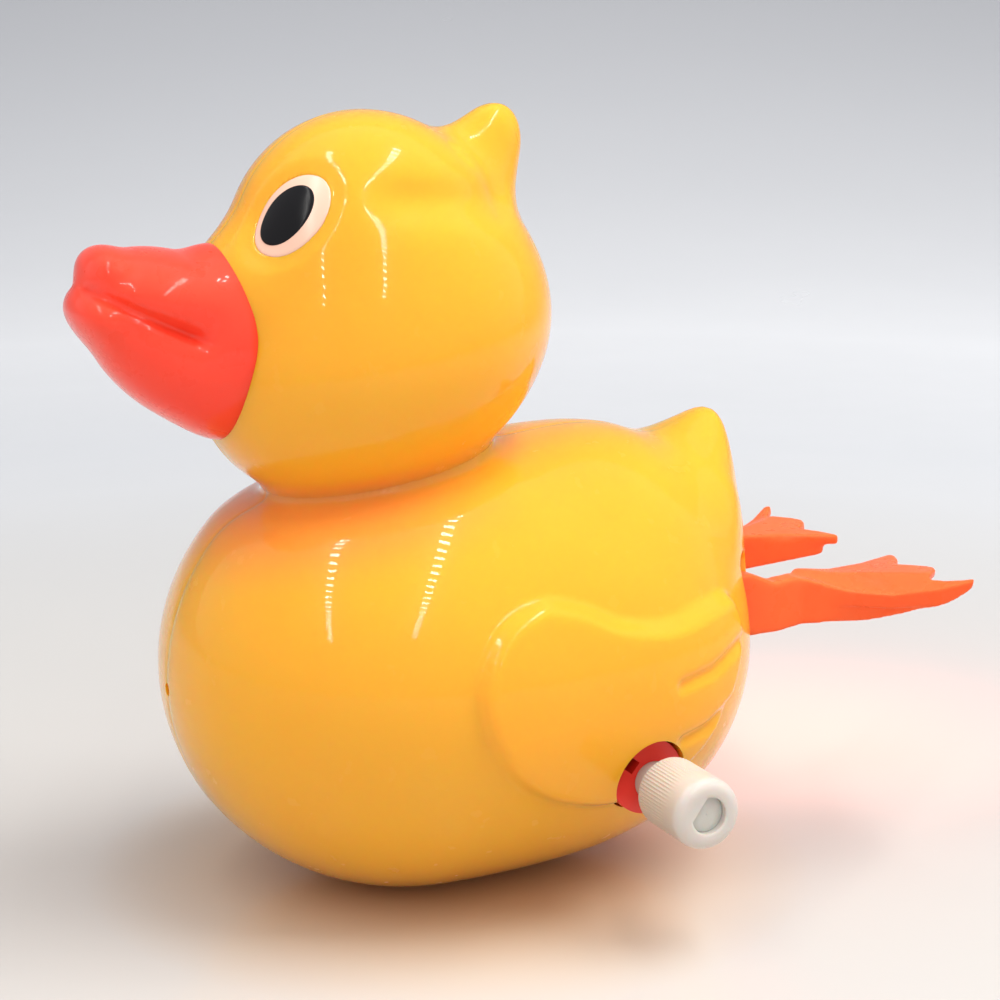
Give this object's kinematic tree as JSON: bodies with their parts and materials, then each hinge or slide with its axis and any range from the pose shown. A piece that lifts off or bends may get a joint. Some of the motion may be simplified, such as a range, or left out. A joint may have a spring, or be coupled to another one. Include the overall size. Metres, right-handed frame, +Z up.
{
  "type": "wind-up swimming duck",
  "caption": "Clockwork bath duck: winding key on its left side, two webbed feet behind that kick in turn, clam-shell body and head.",
  "frame": {"origin": "middle of the flat under the belly that the duck rests on", "axes": "+X towards the beak, +Y to the duck's left (the key side), +Z up"},
  "size_m": [0.1054, 0.0704, 0.0929],
  "materials": {
    "yellow_shell": "glossy injection moulding",
    "orange_plastic": "smooth glossy moulding",
    "eye_white": "glossy",
    "eye_black": "glossy",
    "key_white": "milky, fine straight knurl",
    "case_red": "satin red moulding",
    "gear_plastic": "natural acetal",
    "steel": "bright drawn wire and turned pins",
    "spring_steel": "blued strip",
    "brass": "turned"
  },
  "bodies": {
    "duck": {"body_shell_left": "yellow_shell", "body_shell_right": "yellow_shell", "head_shell_left": "yellow_shell", "head_shell_right": "yellow_shell", "beak": "orange_plastic", "eye_left": "eye_white", "eye_right": "eye_white", "pupil_left": "eye_black", "pupil_right": "eye_black", "motor_case_left": "case_red", "motor_case_right": "case_red", "case_screw_front": "steel", "case_screw_top": "steel", "case_screw_low": "steel", "case_screw_rear": "steel", "idler_axle": "steel", "governor_axle": "steel", "mainspring": "spring_steel", "leg_pivot_pin": "steel", "pivot_spacer_left": "gear_plastic", "pivot_spacer_right": "gear_plastic", "pivot_cap_left": "steel", "pivot_cap_right": "steel"},
    "winding": {"winding_key": "key_white", "winding_arbor": "key_white", "ratchet_wheel": "steel"},
    "main": {"main_gear": "gear_plastic", "ratchet_pawl": "steel"},
    "idler": {"idler_gear": "gear_plastic"},
    "crank": {"crank_gear": "gear_plastic", "crank_shaft": "steel", "crank_disc_left": "gear_plastic", "crank_disc_right": "gear_plastic"},
    "governor": {"governor_wheel": "brass"},
    "left_foot": {"leg_left": "orange_plastic"},
    "right_foot": {"leg_right": "orange_plastic"}
  },
  "joints": [
    {"name": "key_wind", "type": "hinge", "parent": "duck", "child": "winding", "pos_m": [-0.0146, 0, 0.0164], "axis": [0, 1, 0], "continuous": true},
    {"name": "crank_turn", "type": "hinge", "parent": "duck", "child": "crank", "pos_m": [-0.014, 0, 0.033], "axis": [0, 1, 0], "range_deg": [-90, 90]},
    {"name": "idler_spin", "type": "hinge", "parent": "duck", "child": "idler", "pos_m": [-0.00872, 0, 0.0254], "axis": [0, 1, 0], "range_deg": [-29.23, 29.23]},
    {"name": "main_spin", "type": "hinge", "parent": "duck", "child": "main", "pos_m": [-0.0146, 0, 0.0164], "axis": [0, 1, 0], "range_deg": [-7.96, 7.96]},
    {"name": "governor_spin", "type": "hinge", "parent": "duck", "child": "governor", "pos_m": [-0.01691, 0, 0.04099], "axis": [0, 1, 0], "range_deg": [-292.8, 292.8]},
    {"name": "left_kick", "type": "hinge", "parent": "duck", "child": "left_foot", "pos_m": [-0.027, 0, 0.033], "axis": [0, 1, 0], "range_deg": [-11.46, 11.46]},
    {"name": "right_kick", "type": "hinge", "parent": "duck", "child": "right_foot", "pos_m": [-0.027, 0, 0.033], "axis": [0, 1, 0], "range_deg": [-12.72, 12.72]}
  ],
  "couplings": [
    {"joint": "idler_spin", "follows": "crank_turn", "ratio": -0.32143},
    {"joint": "main_spin", "follows": "crank_turn", "ratio": 0.085084},
    {"joint": "governor_spin", "follows": "crank_turn", "ratio": -3.25},
    {"joint": "left_kick", "follows": "crank_turn", "ratio": 0.124},
    {"joint": "right_kick", "follows": "crank_turn", "ratio": -0.138}
  ]
}
